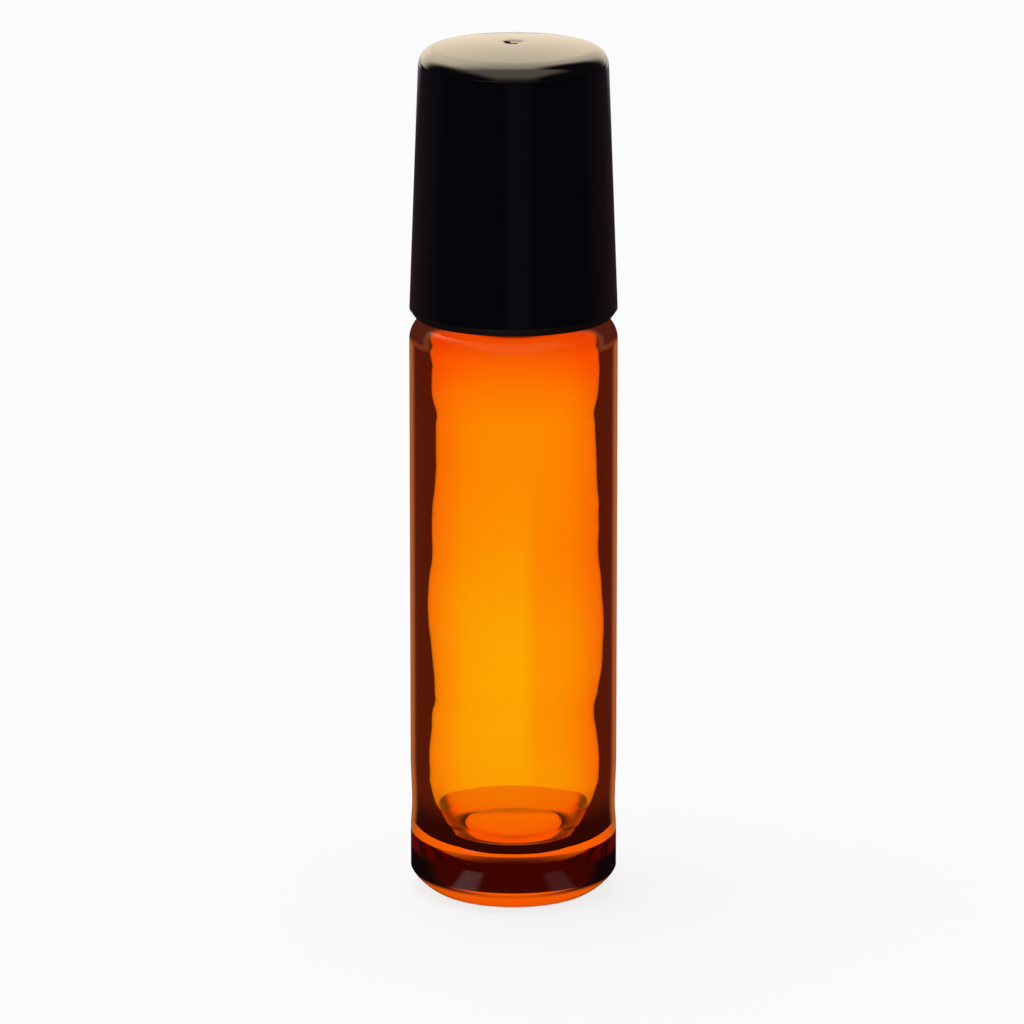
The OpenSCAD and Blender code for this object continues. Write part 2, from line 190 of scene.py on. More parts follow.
# Amber glass: part of its colour is at the surface, part grows with the glass that the light crosses
amber = {
    "ior": 1.52,
    "roughness": 0.0,
    "gloss": (0.25, 0.22, 0.2, 1),
    # colour at each height, from the base to the shoulder: the pale yellow up to 2.4 mm is painted light, and
    # the deep red from 53 mm up to the shoulder is a painted shade under the cap
    "heights": (0.0, 2.4 * mm, 5.0 * mm, 12 * mm, 18 * mm, 28 * mm, 38 * mm, 48 * mm, 53 * mm, 54.4 * mm,
                55.5 * mm, 57.5 * mm),
    "colors": ((1.0, 1.0, 0.3, 1), (1.0, 0.95, 0.25, 1), (1.0, 0.72, 0.10, 1), (1.0, 0.71, 0.10, 1),
               (1.0, 0.775, 0.10, 1), (1.0, 0.70, 0.08, 1), (1.0, 0.64, 0.07, 1), (1.0, 0.63, 0.06, 1),
               (1.0, 0.41, 0.05, 1), (1.0, 0.38, 0.04, 1), (0.85, 0.24, 0.012, 1), (1.0, 0.45, 0.06, 1)),
    "sideTint": (1.0, 0.72, 0.5, 1),       # what a face turned aside keeps of that colour
    "sideTurn": (0.04, 0.55),
    "streakTint": (1.0, 0.77, 0.6, 1),     # the same for a redder streak down one side
    "streakFrom": (0.6 * mm, 2.6 * mm),
    "streakHeights": (9 * mm, 14 * mm, 31 * mm, 46 * mm),
    "channelTint": (0.85, 0.3, 0.3, 1),    # the same for the channel round the floor
    "floorTint": (0.8, 0.4, 0.5, 1),       # and for the floor inside it
    "channel": (5.0 * mm, 8.2 * mm),       # nearest to the axis, and its top
    "channelTurn": (0.28, 0.60),
    "tint": (1.0, 0.9, 0.35, 1),           # what the thickness takes away, with the density
    "density": 1000.0,                     # per metre
    "wallMiddle": 9.3 * mm,                # nearer the axis than this is the inner wall
    "cavity": (5.0 * mm, 56.2 * mm),
    # painted reflection: the band on the inner wall glows with these colours, for the dark sides of a room, and
    # darker still low down by the floor as painted shade
    "bandReflectionColor": (0.098, 0.015, 0.006, 1),
    "bandEdge": (0.92, 0.10, 0.002, 1),
    "bandFull": (0.15, 0.8),
    "cornerShadeColor": (0.030, 0.0035, 0.003, 1),
    "cornerFade": (7.2 * mm, 10.5 * mm),
    # how far a face turns from the eye, from 0 to 1, where each effect begins and is full
    # painted shade: the outer skin seen nearly edge on, above the foot, glows a darkened orange-red
    "rimShadeColor": (0.46, 0.12, 0.03, 1),
    "rim": (0.66, 0.80),
    "rimShare": 0.85,
    "rimFoot": (5.6 * mm, 6.2 * mm),
    # painted shade: the base seen aslant from inside and the low part of the heel glow a dark maroon, for the
    # dark under the heel
    "baseShadeColor": (0.046, 0.010, 0.008, 1),
    "baseTurn": (0.5, 0.65),
    "baseTop": 1.0 * mm,
    "tableLightColor": (1.05, 0.78, 0.5, 1),    # painted light: the white table seen through the hollow of the base glows with this
    "hollow": 6.6 * mm,
    "heelTop": (0.4 * mm, 1.05 * mm),      # the low part of the heel, seen from inside
    "heelTurn": (0.10, 0.18),
    "heelInner": 7.3 * mm,
    # painted shade: the two ends of the solid foot glow near black, for the dark sides of a room
    "endShadeColor": (0.006, 0.002, 0.002, 1),
    "endTurn": (0.30, 0.50),
    "endHeights": (1.3 * mm, 2.0 * mm, 3.9 * mm, 4.7 * mm),
    # painted shade: the shoulder seen aslant glows dark red-brown, for the dark room it bends and the cap's
    # shade over it
    "shoulderShadeColor": (0.085, 0.013, 0.007, 1),
    "shoulderTurn": (0.36, 0.52),
    "shoulderHeights": (54.5 * mm, 55.3 * mm, 57.3 * mm),
    "ripple": 6 * mm,
    "rippleDepth": 0.02,                   # in millimetres, as the next one
    "fleckDepth": 0.05,
    "fleck": 0.7 * mm,
    "fleckZone": (6.3 * mm, 6.8 * mm, 7.8 * mm, 8.4 * mm),
}


def amberGlass():
    material, maker = newMaterial("amberGlass")
    ripple = maker.noise(maker.place(scale=(1, 1, 0.5)).out("Vector"), amber["ripple"], 1.0)
    parts = maker.add("ShaderNodeSeparateXYZ", {}, {0: maker.place().out("Vector")})
    x, y, z = parts.out("X"), parts.out("Y"), parts.out("Z")
    low, high = amber["heights"][0], amber["heights"][-1]
    stops = [((h - low) / (high - low), c) for h, c in zip(amber["heights"], amber["colors"])]
    color = maker.add("ShaderNodeValToRGB", {"stops": stops}, {"Fac": (z - low) / (high - low)}).out("Color")
    # turned is 0 on a face that looks at the eye and 1 on one seen edge on, and within is 1 for a ray
    # that meets a face from inside the glass
    turned = maker.add("ShaderNodeLayerWeight", {}, {"Blend": 0.5}).out("Facing")
    within = maker.add("ShaderNodeNewGeometry").out("Backfacing")
    spread = x * x + y * y
    # Light that crosses the glass aslant comes out redder, most of all in the channel round the floor.
    # The floor itself has one even tint.
    inner, top = amber["channel"]
    floor = (spread < inner ** 2) * (z < top)
    color = maker.tint(maker.between(turned, *amber["sideTurn"]) * (1 - floor), color, amber["sideTint"])
    bottom, ceiling = amber["cavity"]
    nearCavity = spread < amber["wallMiddle"] ** 2
    channel = (spread > inner ** 2) * nearCavity * (z > bottom) * (z < top) * (1 - within)
    color = maker.tint(channel, color, amber["channelTint"])
    color = maker.tint(floor * (z > bottom), color, amber["floorTint"])
    streak = maker.between(x, *amber["streakFrom"]) * maker.hill(z, amber["streakHeights"])
    color = maker.tint(streak * (1 - nearCavity), color, amber["streakTint"])
    # The ring that the bottle stands on is worn and uneven
    away = x.math("SQRT", spread)
    worn = maker.hill(away, amber["fleckZone"]) * (z < amber["baseTop"])
    flecks = maker.noise(maker.place().out("Vector"), amber["fleck"], 2.0) * worn
    height = ripple * amber["rippleDepth"] + flecks * amber["fleckDepth"]
    glass = maker.add("ShaderNodeBsdfPrincipled", {}, {
        "Base Color": color, "Roughness": amber["roughness"], "IOR": amber["ior"],
        "Specular Tint": amber["gloss"], "Transmission Weight": 1.0,
        "Normal": maker.bump(height, mm)}).out("BSDF")
    # Painted reflection: where light can't leave the glass at the inner wall, the glass glows a dark red
    # instead, for the dark sides of a room
    innerSide = nearCavity * (z > bottom) * (z < ceiling) * (1 - floor)
    facing = ((amber["ior"] - 1) / (amber["ior"] + 1)) ** 2
    trapped = maker.add("ShaderNodeFresnel", {}, {"IOR": amber["ior"]}).out("Fac")
    # The channel round the floor gets the band too, as painted shade in that corner
    corner = channel * maker.between(turned, *amber["channelTurn"])
    trapped = x.math("MAXIMUM", trapped, corner)
    band = (trapped - facing) / (1 - facing) * innerSide
    # lower down, by the floor, the band is darker still: painted shade
    dimmest = maker.blendColor(maker.between(z, *amber["cornerFade"]), amber["cornerShadeColor"], amber["bandReflectionColor"])
    bandTone = maker.blendColor(maker.between(trapped, *amber["bandFull"]), amber["bandEdge"], dimmest)
    # Painted shade: light that glances along the base from inside is painted a dark maroon, for the dark under
    # the heel
    lowest = within * (z < amber["baseTop"])
    slant = maker.between(turned, *amber["baseTurn"])
    table = lowest * (spread < amber["hollow"] ** 2) * (1 - slant)
    # and so is light that comes from inside to the low part of the heel
    heel = within * (spread > amber["heelInner"] ** 2) * (1 - maker.between(z, *amber["heelTop"]))
    heel = heel * maker.between(turned, *amber["heelTurn"])
    base = slant.math("MAXIMUM", slant * lowest + table, heel)
    # Painted light: the hollow of the base glows with the white of the table below
    baseTone = maker.blendColor(table, amber["baseShadeColor"], amber["tableLightColor"])
    # Painted shade: the two ends of the solid foot are painted near black, for the dark sides of a room bent
    # into them
    ends = maker.between(turned, *amber["endTurn"]) * maker.hill(z, amber["endHeights"])
    # Painted shade: the outer skin seen nearly edge on, above the foot, is painted a darkened orange-red
    rim = maker.between(turned, *amber["rim"]) * maker.between(z, *amber["rimFoot"]) * amber["rimShare"]
    # Painted shade: the shoulder seen aslant is painted dark red-brown too, for the dark room it bends and the
    # cap's shade over it
    foot, full, top = amber["shoulderHeights"]
    shoulder = maker.between(turned, *amber["shoulderTurn"]) * maker.between(z, foot, full) * (z < top)
    skin = (1 - within) * (1 - innerSide)
    skinTone = maker.blendColor(z > amber["rimFoot"][0], amber["endShadeColor"], amber["rimShadeColor"])
    skinTone = maker.blendColor(shoulder, skinTone, amber["shoulderShadeColor"])
    low = z < amber["heelTop"][1]
    tone = maker.blendColor(skin, maker.blendColor(low, bandTone, baseTone), skinTone)
    # All the painted shade and light above glows from this shader, which takes the glass's place where the
    # masks say
    paintedGlow = maker.add("ShaderNodeBsdfPrincipled", {}, {
        "Base Color": (0, 0, 0, 1), "Specular IOR Level": 0.0, "Emission Color": tone,
        "Emission Strength": 1.0}).out("BSDF")
    outside = skin * skin.math("MAXIMUM", ends + rim, shoulder)
    mixed = maker.add("ShaderNodeMixShader", {}, {0: band + base + outside, 1: glass, 2: paintedGlow}).out("Shader")
    volume = maker.add("ShaderNodeVolumeAbsorption", {}, {
        "Color": amber["tint"], "Density": amber["density"]}).out("Volume")
    maker.finish(mixed, volume)
    return material


capFinish = {
    "color": (0.0018, 0.0014, 0.0034, 1),
    "dustColor": (0.006, 0.005, 0.006, 1),
    "roughness": (0.03, 0.07),
    "bevelTop": 57.8 * mm,             # under this the cap is dull
    "bevelRough": 0.5,
    "specular": 0.5,
    "hazeSize": 9 * mm,
    "speckSize": 0.35 * mm,
    "speckFrom": (0.72, 0.80),         # the noise that makes a speck of dust
    "speckShare": 0.5,
    "speckRough": 0.1,
    "waveSize": 2.2 * mm,
    "waveDepth": 0.002 * mm,
}


def glossBlack():
    material, maker = newMaterial("glossBlackPlastic")
    where = maker.place().out("Vector")
    haze = maker.noise(where, capFinish["hazeSize"], 4.0)
    specks = maker.between(maker.noise(where, capFinish["speckSize"], 1.0), *capFinish["speckFrom"])
    color = maker.blendColor(specks * capFinish["speckShare"], capFinish["color"], capFinish["dustColor"])
    low, high = capFinish["roughness"]
    height = maker.add("ShaderNodeSeparateXYZ", {}, {0: where}).out("Z")
    rough = low + (high - low) * haze + specks * capFinish["speckRough"]
    rough = rough + (height < capFinish["bevelTop"]) * capFinish["bevelRough"]
    normal = maker.bump(maker.noise(where, capFinish["waveSize"], 1.0), capFinish["waveDepth"])
    shader = maker.add("ShaderNodeBsdfPrincipled", {}, {
        "Base Color": color, "Roughness": rough, "Normal": normal,
        "Specular IOR Level": capFinish["specular"]}).out("BSDF")
    maker.finish(shader)
    return material


# Plastic without dye, of the housing and the seal
plastic = {
    "cloudSize": 3 * mm,
    "grainSize": 0.12 * mm,
    "grainDepth": 0.004 * mm,
    "ior": 1.49,
    "scatter": (1.0, 0.95, 0.85),
    "scatterReach": 0.8 * mm,
}
housingFinish = {
    "color": (0.82, 0.83, 0.80, 1),
    "shade": (0.74, 0.75, 0.71, 1),
    "roughness": (0.28, 0.42),
    "scatterShare": 0.6,
}
sealFinish = {
    "color": (0.80, 0.80, 0.76, 1),
    "shade": (0.72, 0.72, 0.67, 1),
    "roughness": (0.42, 0.58),
    "scatterShare": 0.4,
}


def naturalPlastic(name, finish):
    material, maker = newMaterial(name)
    where = maker.place().out("Vector")
    cloud = maker.noise(where, plastic["cloudSize"], 3.0)
    grain = maker.noise(where, plastic["grainSize"], 2.0)
    color = maker.blendColor(cloud, finish["color"], finish["shade"])
    low, high = finish["roughness"]
    shader = maker.add("ShaderNodeBsdfPrincipled", {}, {
        "Base Color": color, "Roughness": low + (high - low) * grain,
        "Subsurface Weight": finish["scatterShare"], "Subsurface Radius": plastic["scatter"],
        "Subsurface Scale": plastic["scatterReach"], "IOR": plastic["ior"],
        "Normal": maker.bump(grain, plastic["grainDepth"])}).out("BSDF")
    maker.finish(shader)
    return material


ballFinish = {
    "color": (0.70, 0.71, 0.73, 1),
    "shade": (0.62, 0.63, 0.66, 1),
    "roughness": (0.05, 0.13),
    "centre": (0, 0, 73 * mm),
    "cloudSize": 2.5 * mm,
    "lappingSize": 0.5 * mm,
    "lappingSquash": (1, 1, 9),        # fine rings round the Z axis
    "lappingDepth": 0.0006 * mm,
}


def polishedSteel():
    material, maker = newMaterial("polishedSteel")
    where = maker.place(centre=ballFinish["centre"]).out("Vector")
    cloud = maker.noise(where, ballFinish["cloudSize"], 4.0)
    rings = maker.place(scale=ballFinish["lappingSquash"]).out("Vector")
    lapping = maker.noise(rings, ballFinish["lappingSize"], 3.0)
    low, high = ballFinish["roughness"]
    shader = maker.add("ShaderNodeBsdfPrincipled", {}, {
        "Base Color": maker.blendColor(cloud, ballFinish["color"], ballFinish["shade"]),
        "Metallic": 1.0, "Roughness": low + (high - low) * lapping,
        "Normal": maker.bump(lapping, ballFinish["lappingDepth"])}).out("BSDF")
    maker.finish(shader)
    return material


# Modelling helpers: everything is deselected before each operator works
def deselectAll():
    if bpy.context.object and bpy.context.object.mode == "EDIT":
        bpy.ops.object.mode_set(mode="OBJECT")
    bpy.ops.object.select_all(action="DESELECT")


def choose(obj):
    deselectAll()
    obj.select_set(True)
    bpy.context.view_layer.objects.active = obj


def editMode(obj):
    choose(obj)
    bpy.ops.object.mode_set(mode="EDIT")


def objectMode():
    bpy.ops.object.mode_set(mode="OBJECT")


def arc(x, z, radius, start, end, steps):
    angles = [math.radians(start + (end - start) * i / steps) for i in range(steps + 1)]
    return [(x + radius * math.cos(a), z + radius * math.sin(a)) for a in angles]


# Draws an outline of (radius, height) points in the XZ plane and stays in edit mode
def drawOutline(name, outline):
    deselectAll()
    bpy.ops.mesh.primitive_plane_add(size=mm, location=(outline[0][0], 0, outline[0][1]))
    piece = bpy.context.object
    piece.name = name
    bpy.ops.object.transform_apply(location=True, rotation=True, scale=True)
    bpy.ops.object.mode_set(mode="EDIT")
    bpy.ops.mesh.select_mode(type="VERT")
    bpy.ops.mesh.select_all(action="SELECT")
    bpy.ops.mesh.merge(type="CENTER")
    for before, after in zip(outline, outline[1:]):
        step = (after[0] - before[0], 0, after[1] - before[1])
        bpy.ops.mesh.extrude_vertices_move(TRANSFORM_OT_translate={"value": step})
    bpy.ops.mesh.select_all(action="SELECT")
    return piece


# Spins an outline round the Z axis into one closed skin
def turned(name, outline, steps):
    piece = drawOutline(name, outline)
    bpy.ops.mesh.spin(steps=steps, angle=2 * math.pi, center=(0, 0, 0), axis=(0, 0, 1))
    bpy.ops.mesh.select_all(action="SELECT")
    bpy.ops.mesh.remove_doubles(threshold=weld)
    bpy.ops.mesh.normals_make_consistent(inside=False)
    objectMode()
    return piece


def applyModifier(obj, kind, **settings):
    choose(obj)
    modifier = obj.modifiers.new(kind.lower(), kind)
    for name, value in settings.items():
        setattr(modifier, name, value)
    bpy.ops.object.modifier_apply(modifier=modifier.name)


# Sweeps a thread's outline up a helix. Both ends fade into the wall, ring by ring, but the root stays,
# or the end of the cap's thread would come out through the side of the cap.
def helicalRidge(name, outline, crest, wall, start, turns):
    piece = drawOutline(name, outline)
    bpy.ops.mesh.edge_face_add()
    bpy.ops.mesh.delete(type="ONLY_FACE")
    objectMode()
    steps = round(thread["turnSteps"] * turns)
    applyModifier(piece, "SCREW", axis="Z", angle=2 * math.pi * turns, steps=steps, render_steps=steps,
                  screw_offset=thread["pitch"] * turns * mm)
    editMode(piece)
    bpy.ops.mesh.select_mode(type="VERT")
    fadeSteps = round(thread["turnSteps"] * thread["fadeAngle"] / 360)
    ring = len(outline)
    # radii past the wall, from the nearest to the crest, so that no moved point is taken twice
    proud = sorted({x for x, z in outline if (x - wall) * (crest - wall) > 0}, key=lambda x: abs(x - wall))
    for k in range(fadeSteps):
        for radius in proud:
            reach = (wall + (radius - wall) * k / fadeSteps) / radius
            bpy.ops.mesh.select_all(action="DESELECT")
            shape = bmesh.from_edit_mesh(piece.data)
            shape.verts.ensure_lookup_table()
            for step in (k, steps - k):
                for vertex in shape.verts[step * ring:(step + 1) * ring]:
                    if abs(math.hypot(vertex.co.x, vertex.co.y) - radius) < thread["same"]:
                        vertex.select_set(True)
            shape.select_flush_mode()
            bpy.ops.transform.resize(value=(reach, reach, 1), center_override=(0, 0, 0))
    bpy.ops.mesh.select_mode(type="EDGE")
    bpy.ops.mesh.select_all(action="DESELECT")
    bpy.ops.mesh.select_non_manifold()
    bpy.ops.mesh.edge_face_add()
    bpy.ops.mesh.select_all(action="SELECT")
    bpy.ops.mesh.normals_make_consistent(inside=False)
    objectMode()
    piece.rotation_euler.z = math.radians(start)
    choose(piece)
    bpy.ops.object.transform_apply(location=True, rotation=True, scale=True)
    return piece


def fuse(piece, other):
    applyModifier(piece, "BOOLEAN", operation="UNION", solver="EXACT", object=other)
    bpy.data.objects.remove(other)
    editMode(piece)
    bpy.ops.mesh.select_all(action="SELECT")
    bpy.ops.mesh.remove_doubles(threshold=weld)
    objectMode()


def smooth(obj, angle):
    choose(obj)
    bpy.ops.object.shade_smooth_by_angle(angle=math.radians(angle))


# A copy of a CAD node's mesh with its loose triangles merged
def mergedCopy(node, name):
    deselectAll()
    copy = bpy.data.objects.new(name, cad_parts[node].data.copy())
    scene.collection.objects.link(copy)
    copy.data.materials.clear()
    editMode(copy)
    bpy.ops.mesh.select_all(action="SELECT")
    bpy.ops.mesh.remove_doubles(threshold=weld)
    objectMode()
    return copy


def dress(obj, body, slot, node, *materials):
    for material in materials:
        obj.data.materials.append(material)
    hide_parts(node)
    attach(obj, body)


# Screw thread, shared by the neck and the cap
thread = {
    "pitch": 3.2, "turnSteps": 64, "fadeAngle": 40,
    "neckLow": 61.9, "neckTurns": 1.5, "neckStart": 0, "neckCrest": 8.3, "neckWall": 7.34,
    "neckRootWidth": 1.6, "neckCrestWidth": 0.6,
    "capLow": 61.263, "capTurns": 1.25, "capStart": 60, "capCrest": 7.6, "capWall": 8.8,
    "capRootWidth": 1.2, "capCrestWidth": 0.5,
    # how deep the root and the faded ends lie in the wall
    "sink": 0.3, "neckBury": 0.04, "capBury": 0.06,
    # shoulders of the section, as shares of its height and width
    "knee": 0.7, "kneeWidth": 0.45, "brow": 0.92, "browWidth": 0.68,
    "same": 0.001 * mm,     # radii nearer than this are one
}


# Section of a thread: flanks, rounded shoulders and a flat crest
def threadOutline(wall, crest, rootWidth, crestWidth, height):
    side = 1 if crest > wall else -1
    root = wall - side * thread["sink"]
    knee = wall + (crest - wall) * thread["knee"]
    kneeWidth = crestWidth + (rootWidth - crestWidth) * thread["kneeWidth"]
    brow = wall + (crest - wall) * thread["brow"]
    half = [(root, rootWidth / 2), (wall, rootWidth / 2), (knee, kneeWidth / 2),
            (brow, crestWidth * thread["browWidth"]), (crest, crestWidth / 2)]
    line = [(x, -w) for x, w in half] + [(x, w) for x, w in reversed(half)]
    return [(x * mm, (height + w) * mm) for x, w in line]


# Glass bottle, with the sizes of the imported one
bottle = {
    "radius": 10.0, "shoulderTop": 57.2, "lipTop": 68.2,
    "heelWidth": 2.4, "heelHeight": 2.2, "heelFullness": 1.3, "bearing": 0.9, "punt": 0.5,
    "ring": 5.8, "crease": 0.05, "creaseHeight": 0.11, "waist": 0.13, "flare": 2.7, "ease": 5.0,
    "shoulder": 2.496, "neck": 7.4, "neckFoot": 0.104, "lip": 0.6,
    "bore": 5.1, "floor": 6.1, "channel": 0.8, "floorSlope": 0.9, "floorCorner": 2.0, "floorLean": 17.5,
    "shoulderGlass": 1.3, "boreCurve": 1.4, "shoulderCurve": 1.4,
    "wallMiddle": 9.3,      # nearer the axis than this is the inner wall
    "steps": 192, "heelSteps": 18, "waistSteps": 10, "easeSteps": 14, "sideSteps": 40, "floorSteps": 12,
}
# Radius of the moulded inner wall, which swells and narrows with height
innerWall = [
    (6.7, 7.26), (7.7, 7.54), (8.7, 7.78), (9.7, 7.97), (10.8, 8.1), (11.8, 8.16), (13.6, 8.14),
    (16.6, 7.97), (19.0, 8.0), (20.7, 8.14), (23.0, 8.29), (26.0, 8.42), (28.5, 8.4), (31.0, 8.24),
    (33.5, 8.05), (36.5, 8.05), (38.7, 7.97), (40.7, 7.82), (44.5, 7.76), (47.5, 7.82), (49.6, 8.0),
    (51.6, 8.02), (53.2, 7.98),
]
# How far the cavity lies off the middle at each height, towards +X
innerShift = [
    (9.0, 0.0), (12.0, 0.05), (17.5, 0.03), (20.0, 0.19), (22.5, 0.24), (24.5, 0.22), (27.0, 0.17),
    (30.0, 0.11), (36.5, 0.14), (40.0, 0.15), (43.0, 0.16), (47.0, 0.11), (50.0, 0.10), (52.5, 0.11),
    (54.5, 0.0),
]
# Light ripple of that wall
mould = {"noiseSize": 9 * mm, "noiseDepth": 0.08 * mm, "fadeHeights": (8.0, 13.0, 49.0, 54.0)}


# Points of a smooth curve through (height, radius) pairs
def throughPoints(pairs, steps):
    found = []
    for i in range(len(pairs) - 1):
        before, a, b, after = (pairs[max(0, min(len(pairs) - 1, i + k))] for k in (-1, 0, 1, 2))
        slopeA = (b[1] - before[1]) / (b[0] - before[0])
        slopeB = (after[1] - a[1]) / (after[0] - a[0])
        length = b[0] - a[0]
        for k in range(steps):
            t = k / steps
            value = (a[1] * (1 + 2 * t) * (1 - t) ** 2 + b[1] * t * t * (3 - 2 * t)
                     + length * slopeA * t * (1 - t) ** 2 + length * slopeB * t * t * (t - 1))
            found.append((a[0] + length * t, value))
    return found + [pairs[-1]]


def bottleOutline(b):
    puntRadius = b["radius"] - b["heelWidth"] - b["bearing"]
    ball = (puntRadius ** 2 + b["punt"] ** 2) / (2 * b["punt"])
    lean = math.degrees(math.asin(puntRadius / ball))
    line = arc(0, b["punt"] - ball, ball, 90, 90 - lean, 12)
    steps, power = b["heelSteps"], 2 / b["heelFullness"]
    for i in range(steps + 1):
        lift = math.pi / 2 * i / steps
        across = b["heelWidth"] * (1 - math.sin(lift) ** power)
        line.append((b["radius"] - across, b["heelHeight"] * (1 - max(0, math.cos(lift)) ** power)))
    waist = b["radius"] - b["waist"]
    top = b["ring"] + b["flare"]
    line.append((b["radius"], b["ring"] - b["creaseHeight"]))
    steps = b["waistSteps"]
    for i in range(steps + 1):
        share = (1 - math.cos(math.pi * i / steps)) / 2
        nip = b["crease"] if i == 0 else 0
        line.append((b["radius"] - nip - b["waist"] * share, b["ring"] + b["flare"] * i / steps))
    steps = b["easeSteps"]
    for i in range(1, steps + 1):
        share = (1 - math.cos(math.pi * i / steps)) / 2
        line.append((waist + b["waist"] * share, top + b["ease"] * i / steps))
    sideTop = b["shoulderTop"] - b["shoulder"]
    sideFoot = top + b["ease"]
    steps = b["sideSteps"]
    line += [(b["radius"], sideFoot + (sideTop - sideFoot) * i / steps) for i in range(1, steps)]
    line += arc(b["radius"] - b["shoulder"], sideTop, b["shoulder"], 0, 90, 16)
    line += arc(b["neck"] + b["neckFoot"], b["shoulderTop"] + b["neckFoot"], b["neckFoot"], -90, -180, 4)[1:]
    line += arc(b["neck"] - b["lip"], b["lipTop"] - b["lip"], b["lip"], 0, 90, 8)
    # down the inside
    line += arc(b["bore"] + b["lip"], b["lipTop"] - b["lip"], b["lip"], 90, 180, 8)
    ceiling = b["shoulderTop"] - b["shoulderGlass"]
    line += arc(b["bore"] + b["boreCurve"], ceiling + b["boreCurve"], b["boreCurve"], 180, 270, 8)
    cavity = innerWall[-1][1]
    line += arc(cavity - b["shoulderCurve"], ceiling - b["shoulderCurve"], b["shoulderCurve"], 90, 0, 10)[1:-1]
    line += [(radius, height) for height, radius in reversed(throughPoints(innerWall, 6))]
    # the wall leans in to a round corner, and the floor rises in the middle
    low = b["floor"] - b["channel"]
    edge = innerWall[0][1] - b["floorCorner"] * math.cos(math.radians(b["floorLean"]))
    line += arc(edge, low + b["floorCorner"], b["floorCorner"], -b["floorLean"], -90, 14)[1:]
    steps = b["floorSteps"]
    for i in range(1, steps + 1):
        share = (1 - math.cos(math.pi * i / steps)) / 2
        line.append((edge - b["floorSlope"] * i / steps, low + b["channel"] * share))
    line.append((0, b["floor"]))
    line[0] = (0, b["punt"])
    return [(x * mm, z * mm) for x, z in line]


# Value at one height on the smooth curve through (height, value) pairs
def valueAt(pairs, height):
    if height <= pairs[0][0] or height >= pairs[-1][0]:
        return pairs[0][1] if height <= pairs[0][0] else pairs[-1][1]
    curve = throughPoints(pairs, 12)
    above = next(i for i, point in enumerate(curve) if point[0] > height)
    (lowHeight, low), (highHeight, high) = curve[above - 1], curve[above]
    return low + (high - low) * (height - lowHeight) / (highHeight - lowHeight)


# Gives the vertices of the cavity's wall a weight that depends on their height
def weighCavity(piece, name, weight):
    group = piece.vertex_groups.new(name=name)
    lowest, ceiling = bottle["floor"] + 0.01, bottle["shoulderTop"] - bottle["shoulderGlass"]
    weights = {}
    for vertex in piece.data.vertices:
        height = round(vertex.co.z / mm, 4)
        inside = math.hypot(vertex.co.x, vertex.co.y) < bottle["wallMiddle"] * mm
        if inside and lowest < height < ceiling:
            if height not in weights:
                weights[height] = max(0.0, min(1.0, weight(height)))
            group.add([vertex.index], weights[height], "REPLACE")
    return name


# Rises smoothly from 0 to 1 over the first two marks and falls back over the last two
def rampUpDown(height, marks):
    rise = max(0.0, min(1.0, (height - marks[0]) / (marks[1] - marks[0])))
    fall = max(0.0, min(1.0, (marks[3] - height) / (marks[3] - marks[2])))
    return (3 - 2 * rise) * rise ** 2 * (3 - 2 * fall) * fall ** 2


glassBottle = turned("glassBottle", bottleOutline(bottle), bottle["steps"])
mostShift = max(shift for height, shift in innerShift)
applyModifier(glassBottle, "DISPLACE", direction="X", mid_level=0.0, strength=mostShift * mm,
              vertex_group=weighCavity(glassBottle, "offMiddle", lambda h: valueAt(innerShift, h) / mostShift))
flow = bpy.data.textures.new("glassFlow", "CLOUDS")
flow.noise_scale = mould["noiseSize"]
applyModifier(glassBottle, "DISPLACE", direction="NORMAL", mid_level=0.5, strength=mould["noiseDepth"],
              texture=flow, texture_coords="LOCAL",
              vertex_group=weighCavity(glassBottle, "wavy", lambda h: rampUpDown(h, mould["fadeHeights"])))
glassBottle.vertex_groups.clear()
neckThread = helicalRidge(
    "neckThread", threadOutline(thread["neckWall"], thread["neckCrest"], thread["neckRootWidth"],
                                thread["neckCrestWidth"], thread["neckLow"]),
    thread["neckCrest"] * mm, (thread["neckWall"] - thread["neckBury"]) * mm,
    thread["neckStart"], thread["neckTurns"])
fuse(glassBottle, neckThread)
smooth(glassBottle, 50)
dress(glassBottle, "bottle", "amber_glass", "glass_bottle", amberGlass())
print("glass bottle turned")

# Screw cap
cap = {
    "baseRadius": 9.98, "rim": 57.056, "bevelWidth": 0.5, "bevelHeight": 0.7,
    "lean": 2.15, "edgeHeight": 82.87, "edgeRound": 1.8, "crown": 83.6, "crownRise": 0.73,
    "top": 1.5, "bore": 8.5, "lipTop": 68.2, "innerRound": 1.2,
    "dimple": 2.4, "dimpleDepth": 0.22, "nib": 0.35, "nibHeight": 0.14, "nibEdge": 0.03,
    "pit": 0.42, "pitPlace": (-0.55, 0.35, 83.38),
    "collarBore": 5.6, "collar": 6.4, "bead": 5.3, "beadTop": 81.0, "beadFoot": 80.4, "beadChamfer": 0.1,
    "steps": 192, "sideSteps": 12,
}


